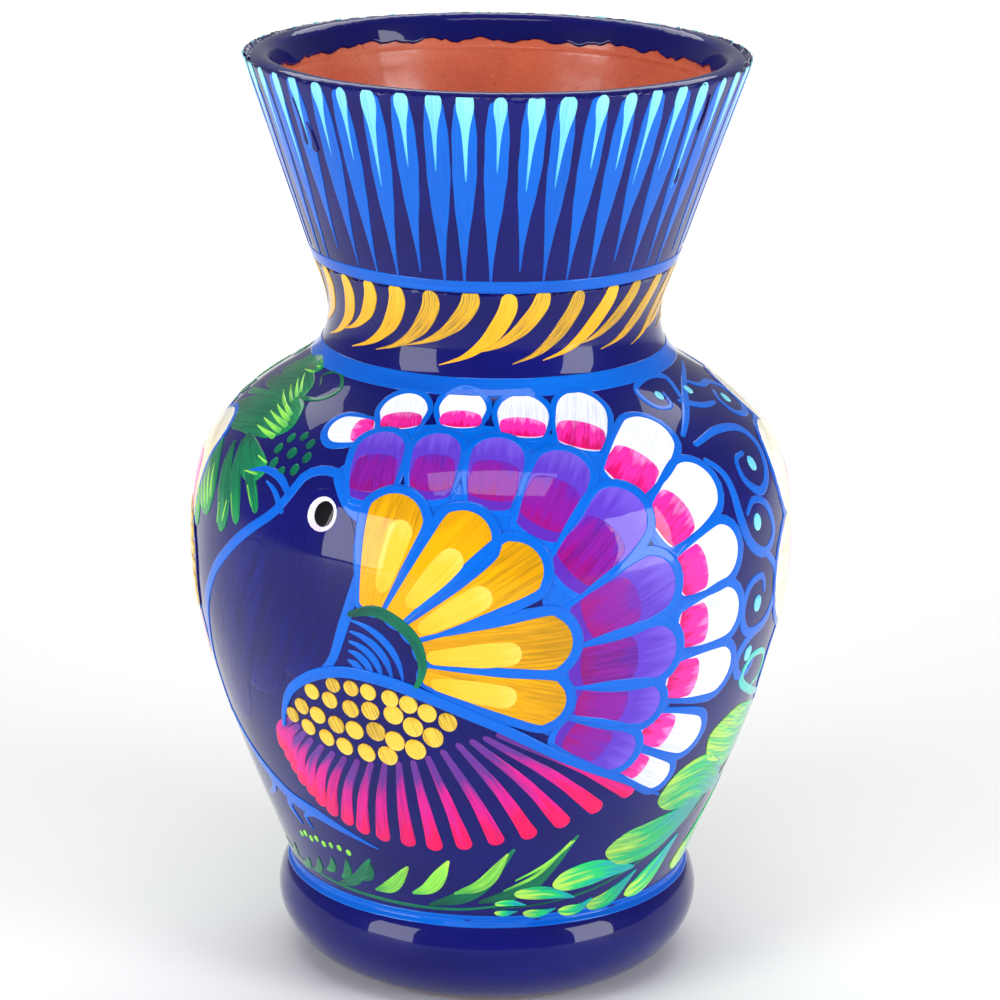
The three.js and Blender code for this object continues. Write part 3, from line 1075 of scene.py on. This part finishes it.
deep_green = brushed(
    "deep_green_paint", (0, 84, 66), (0, 112, 78), (10, 132, 84), (6, 40, 70), dryness=0.4
)
crescent = Strokes(112, lift=0.5, thickness=0.12)
crescent.draw(
    [(-37, 111), (-30, 113), (-24, 111), (-19, 106.5), (-17, 100), (-18, 95), (-20, 92)],
    [1.4, 3, 3.4, 3.2, 2.4, 1],
)
crescent.lay("rump_crescent", deep_green)

eye_white = Strokes(113, lift=0.1, thickness=0.08)
eye_white.dot((-47, 135.5), 9, 9.4)
eye_white.lay("eye_white", white_paint)
lamp_black = brushed(
    "lamp_black_paint", (8, 8, 12), (6, 6, 10), (10, 10, 14), (26, 26, 40), dryness=0.2
)
pupil = Strokes(114, lift=0.16, thickness=0.06)
pupil.dot((-46.3, 135.6), 6.2, 7)
pupil.lay("eye_pupil", lamp_black)

# ------------------------------------------------------------
# Wing. A blue line along its top, four rows of yellow dabs below it, and eighteen long strokes
# for the flight feathers, each starting purple at its root and ending broad and red-pink.
FEATHER_COUNT = 18
WING_ROOTS = [(-59, 76), (-54, 71), (-44, 67), (-32, 67), (-20, 70), (-8, 77), (2, 80)]
WING_TIPS = [(-68, 62), (-64, 51), (-56, 42), (-40, 35.5), (-14, 34), (16, 41), (46, 54)]
DAB_ROWS = [
    # line, dabs, dab width
    ([(-43, 90.5), (-33, 90.5), (-22, 88), (-11, 83)], 7, 4.4),
    ([(-50, 86.5), (-38, 84), (-27, 84), (-15, 78)], 7, 4.8),
    ([(-55, 81), (-43, 77.5), (-31, 77.5), (-20, 73.5)], 7, 5),
    ([(-59.5, 77), (-48, 72.5), (-38, 70), (-29, 70)], 6, 4.8),
]

feather_pink = brushed(
    "feather_pink_paint", (104, 50, 150), (222, 26, 146), (250, 14, 96), (110, 20, 120),
    dryness=0.4, start_share=0.34, end_share=0.74, streaks=0.5,
)
feathers = Strokes(120, lift=0.02, thickness=0.16)
for share in np.linspace(0, 1, FEATHER_COUNT):
    root, tip = (
        np.array([np.interp(share * (len(line) - 1), range(len(line)), axis) for axis in zip(*line)])
        for line in (WING_ROOTS, WING_TIPS)
    )
    bow = np.array((-1.0, 0.4)) * (3.0 - 4.5 * share) + (0, 1.6 * share)
    feathers.draw([root, (root + tip) / 2 + bow, tip], [1.8, 3, 4.2, 5 + share], start=1, end=2.6)
feathers.lay("wing_feathers", feather_pink)

wing_line = Strokes(121, lift=0.5, thickness=0.12)
wing_line.draw(
    [(-64, 72), (-62, 78), (-58, 85), (-52, 90), (-45, 93.5), (-37, 95), (-27, 94), (-17, 91), (-5, 86),
     (5, 81), (15, 75), (25, 69), (40, 61), (50, 55), (57, 51)],
    [1.4, 3, 3.4, 3.4, 3.2, 3, 2.4, 1],
)
wing_line.lay("wing_line", outline_blue, "bright_blue_paint")

dab_yellow = brushed(
    "dab_yellow_paint", (255, 212, 90), (250, 204, 74), (236, 184, 50), (120, 96, 30), dryness=0.6
)
dabs = Strokes(122, lift=0.16, thickness=0.26)
for line, count, width in DAB_ROWS:
    line = catmull_rom(line, 0.2)
    for share in np.linspace(0, 1, count):
        spot = line[int(share * (len(line) - 1))] + dabs.random.uniform(-0.4, 0.4, 2)
        dabs.dot(spot, width * (1 + 0.16 * share), width * (1 + 0.35 * share), tilt=20)
dabs.lay("wing_dabs", dab_yellow)

# ------------------------------------------------------------
# Ground leaves and branches. Low over the foot runs a row of small comma leaves, then a branch
# of broad leaves, each one pull of a loaded brush, lime at its broad tip and teal at its root.
# All of them are painted twice, so that they go right round the vase.
GROUND_DARK = [
    ([(-104, 13), (-84, 8.5), (-50, 6), (-14, 6), (8, 9)], [1, 1.6, 1.6, 1]),
    ([(-63, 7), (-52, 13), (-43, 25)], [1.4, 4.6, 4, 1]), ([(-22, 7), (-4, 16), (9, 36)], [1.6, 6, 5, 1]),
    ([(-3, 10), (15, 18), (30, 40)], [1.6, 6.4, 5, 1]),
    ([(2, 7), (24, 9), (48, 15), (76, 30), (102, 47), (130, 62)], [0.8, 1.2, 1.6, 2, 2.4]),
]
GROUND_TEAL = [
    ((-50, 13), (-43, 23)), ((-60, 11), (-54, 22)), ((-68, 12), (-62, 20)), ((-78, 8), (-71, 17)),
    ((-89, 7), (-80, 13)), ((-98, 9), (-90, 16)),
]
GROUND_LIME = [
    ([(-44, 10), (-36, 14), (-28, 25)], [1, 5.4, 4.6, 1]),
    ([(-28, 12), (-20, 17), (-13, 30)], [1, 5.6, 5, 1]),
    ([(-12, 14), (-1, 20), (7, 34)], [1, 5, 4.6, 0.8]), ([(6, 16), (18, 24), (28, 38)], [0.6, 1.6, 1.4, 0.5]),
    ([(10, 21), (20, 28), (29, 38)], [0.6, 1.2, 1.2, 0.5]),
]
BRANCH_LEAVES = [
    ([(74, 67), (98, 60), (128, 62)], 24), ([(58, 48), (78, 50), (100, 40)], 21),
    ([(42, 30), (62, 31), (88, 42)], 19), ([(24, 17.5), (40, 21), (58, 19)], 13),
    ([(10, 14.5), (22, 14), (34, 10)], 7), ([(3, 9.5), (9, 10), (15, 8.5)], 3.6),
    ([(3, 5), (7, 4.6), (12, 5.6)], 3.2), ([(14, 4.5), (20, 3.6), (27, 5.4)], 4.6),
    ([(28, 4), (36, 3.4), (42, 8)], 6), ([(40, 4), (50, 6), (60, 17)], 9),
    ([(58, 5), (68, 10), (79, 27)], 12), ([(86, 9), (98, 15), (116, 40)], 17),
]
HALF_WAY = ONCE_ROUND / 2

lime_paint = brushed(
    "lime_paint", (90, 196, 80), (146, 234, 84), (186, 246, 90), (20, 110, 70), dryness=0.5
)
leaf_green = brushed(
    "leaf_green_paint", (190, 242, 90), (30, 212, 116), (0, 172, 176), (0, 120, 96), dryness=0.5,
    start_share=0.2, end_share=0.6, streaks=0.7,
)
mid_green = brushed(
    "mid_green_paint", (24, 150, 84), (4, 118, 76), (0, 84, 70), (0, 50, 64), dryness=0.5
)
dark_leaves = Strokes(130, thickness=0.12)
small_leaves = Strokes(131, lift=0.04, thickness=0.14)
lime_leaves = Strokes(132, lift=0.08, thickness=0.14)
broad_leaves = Strokes(133, lift=0.05, thickness=0.16)
for shift in (0, HALF_WAY):
    for path, widths in GROUND_DARK:
        dark_leaves.draw([(x + shift, y) for x, y in path], widths)
    for root, tip in GROUND_TEAL:
        middle = ((root[0] + tip[0]) / 2 + 1.2 + shift, (root[1] + tip[1]) / 2 - 1.6)
        small_leaves.draw([(root[0] + shift, root[1]), middle, (tip[0] + shift, tip[1])], [1, 3.6, 3.4, 0.8])
    for path, widths in GROUND_LIME:
        lime_leaves.draw([(x + shift, y) for x, y in path], widths)
    for x in (-77, -74, -71, -67.5, -64, -60, -56, -52):
        lime_leaves.dot((x + shift, 26 + 0.6 * math.sin(x)), 2.2, 2.8)
    for path, width in BRANCH_LEAVES:
        path = [(x + shift, y) for x, y in path]
        broad_leaves.draw(path, np.array([0.5, 0.9, 0.88, 0.5, 0.1]) * width, start=0.4 * width)
dark_leaves.lay("dark_ground_leaves", deep_green)
small_leaves.lay("small_ground_leaves", mid_green)
lime_leaves.lay("lime_ground_leaves", lime_paint)
broad_leaves.lay("branch_leaves", leaf_green)

# ------------------------------------------------------------
# Scrolls. Curling blue tendrils between the tail and the next flower, drawn with a fine liner,
# with pale turquoise dots in their eyes. The back of the vase has a smaller set, upside down.
SCROLLS = [
    [(68, 158), (85, 170), (100, 178), (120, 183)],
    [(85, 171), (90, 183), (78, 187), (66, 183), (68, 173), (76, 171), (79, 178)],
    [(70, 154), (85, 156), (98, 153), (102, 146), (98, 138), (90, 134), (83, 139), (84, 145), (90, 146)],
    [(70, 149), (75, 142), (76, 130), (80, 122), (88, 118), (94, 122), (91, 130), (84, 133), (79, 130)],
    [(88, 118), (95, 112), (96, 104), (90, 98), (80, 98), (76, 104), (79, 111), (86, 112), (88, 107)],
    [(88, 98), (80, 95), (77, 90), (80, 85), (86, 85), (88, 90)],
    [(100, 178), (108, 172), (118, 170), (124, 162), (118, 154), (108, 156), (106, 163), (112, 167)],
    [(82, 172), (92, 166), (102, 164)],
]
SCROLL_EYES = [(75, 177), (91, 142), (84, 127), (84, 105), (83, 91), (113, 162), (95, 174), (98, 107)]
TEAL_CURL = [(128, 72), (106, 72), (92, 77), (83, 83), (87, 89), (97, 87), (99, 80), (93, 78)]
SCROLL_SETS = [
    # across, up, which way it is turned, scrolls, eyes, how far its teal curl is moved up
    (0, 0, 1, 8, 8, 0), (340, 232, -1, 4, 3, -22),
]

scrolls = Strokes(140, lift=0.02, thickness=0.13)
scroll_eyes = Strokes(141, lift=0.04, thickness=0.18)
curls = Strokes(142, lift=0.03, thickness=0.13)
teal_paint = brushed(
    "teal_paint", (30, 180, 190), (70, 206, 196), (120, 226, 196), (0, 100, 150), dryness=0.4
)
for x_at, y_at, flip, scroll_count, eye_count, curl_rise in SCROLL_SETS:
    for path in SCROLLS[:scroll_count]:
        scrolls.draw([(x_at + flip * x, y_at + flip * y) for x, y in path], [2, 3.2, 3, 2.6, 1.6])
    for x, y in SCROLL_EYES[:eye_count]:
        scroll_eyes.dot((x_at + flip * x, y_at + flip * y), 4, 4.6)
    curls.draw([(x_at + flip * x, y + curl_rise) for x, y in TEAL_CURL], [1.4, 2.6, 2.4, 1])
scrolls.lay("scrolls", outline_blue, "bright_blue_paint")
scroll_eyes.lay("scroll_eyes", pale_turquoise)
curls.lay("teal_curls", teal_paint)

# ------------------------------------------------------------
# Leaf sprays. Dark leaves with lime strokes at their tips hang from the shoulder over the bird's
# beak, with a ring of green dots and a curling tendril. Two more sprays fill the back.
SPRAY_LEAVES = [
    ([(-74, 158), (-92, 160), (-122, 150)], 20), ([(-96, 124), (-104, 134), (-118, 148)], 15),
    ([(-86, 122), (-87, 130), (-96, 146)], 7), ([(-84, 168), (-100, 174), (-122, 166)], 16),
    ([(-92, 186), (-106, 184), (-124, 172)], 13), ([(-72, 142), (-80, 143), (-92, 150)], 9),
    ([(-106, 118), (-114, 130), (-124, 146)], 12), ([(-78, 126), (-82, 134), (-92, 148)], 5),
    ([(-70, 131), (-76, 138), (-88, 149)], 4),
]
TENDRIL = [(-124, 158), (-95, 168), (-76, 172), (-70, 180), (-78, 187), (-87, 183), (-82, 178)]
DOT_RING = ((-66, 150), 6.5)  # its middle and its radius

spray_leaves = Strokes(150, lift=0.02, thickness=0.16)
spray_lights = Strokes(151, lift=0.15, thickness=0.12)
spray_dots = Strokes(152, lift=0.02, thickness=0.2)
for shift, flip in ((0, 1), (150, -1), (-71, 1)):
    for path, width in SPRAY_LEAVES:
        path = [(shift + flip * x, y) for x, y in path]
        spray_leaves.draw(path, np.array([0.6, 1, 1, 0.7, 0.2]) * width, start=0.4 * width)
        tip, middle, root = (np.array(p, float) for p in path)
        sideways = np.array((tip - root)[::-1] * (-1, 1)) / np.linalg.norm(tip - root)
        for place in np.linspace(-0.36, 0.36, max(1, round(width / 4))):
            edge = 0.9 * place * width * sideways
            spray_lights.draw(
                [tip + 0.7 * edge - (0.05 + 0.12 * abs(place)) * (tip - root), middle + edge],
                [0.11 * width, 0.08 * width, 0.3],
            )
    (x, y), radius = DOT_RING
    for angle in np.radians(range(0, 360, 45)):
        across = shift + flip * (x + radius * math.cos(angle))
        spray_dots.dot((across, y + radius * math.sin(angle)), 3, 3.8)
    spray_dots.dot((shift + flip * x, y), 3.6, 4)
    spray_leaves.draw([(shift + flip * x, y) for x, y in TENDRIL], [3, 2.6, 2.4, 2, 1])
spray_leaves.lay("spray_leaves", mid_green)
spray_lights.lay("spray_lights", lime_paint)
spray_dots.lay("spray_dots", deep_green)

# ------------------------------------------------------------
# Flowers. A large one behind the tail, a part of one at the bird's breast and a small one on the
# back. Each is a wheel of broad cream strokes on a blue ground, with a shorter pink wheel on top
# and a navy heart with rings of yellow dabs.
DAB_SPACING = 4.4  # between the rings of dabs in a flower's heart
FLOWERS = [
    # place, first and last angle, petals, reach, petal width, heart
    ((163, 108), (0, 330), 12, 67, 29, 20), ((-123, 106), (80, 280), 8, 46, 20, 17),
    ((-207, 103), (0, 324), 10, 34, 18, 11),
]

cream_paint = brushed(
    "cream_paint", (255, 214, 110), (250, 236, 196), (252, 250, 240), (200, 180, 150), dryness=0.3,
    start_share=0.35,
)
flower_ground = Strokes(160, lift=0.13, thickness=0.1)
flower_petals = Strokes(161, lift=0.2, thickness=0.12)
flower_inner = Strokes(162, lift=0.3, thickness=0.1)
flower_heart = Strokes(163, lift=0.36, thickness=0.1)
flower_dabs = Strokes(164, lift=0.42, thickness=0.2)
for (x, y), (first, last), count, reach, width, heart in FLOWERS:
    for angle in np.radians(np.linspace(first, last, count)):
        way = np.array((math.cos(angle), math.sin(angle)))
        root, tip, middle = ((x, y) + way * r for r in (0.5 * heart, reach, 0.66 * reach))
        scallop(flower_ground, root, tip, width, grow=OUTLINE)
        scallop(flower_petals, root, tip, width)
        scallop(flower_inner, root, middle, 0.62 * width)
    flower_heart.dot((x, y), 2 * heart, 2 * heart)
    for ring in range(1, max(2, round(heart / DAB_SPACING))):
        radius = DAB_SPACING * ring
        for angle in np.linspace(0, math.tau, 6 * ring, endpoint=False):
            flower_dabs.dot((x + radius * math.cos(angle), y + radius * math.sin(angle)), 3.4, 3.8)
    flower_dabs.dot((x, y), 3.6, 3.8)
flower_ground.lay("flower_grounds", outline_blue, "bright_blue_paint")
flower_petals.lay("flower_petals", cream_paint)
flower_inner.lay("flower_inner_petals", pink_paint)
flower_heart.lay("flower_hearts", breast_navy)
flower_dabs.lay("flower_dabs", dab_yellow)

bpy.data.objects.remove(meridian_line)
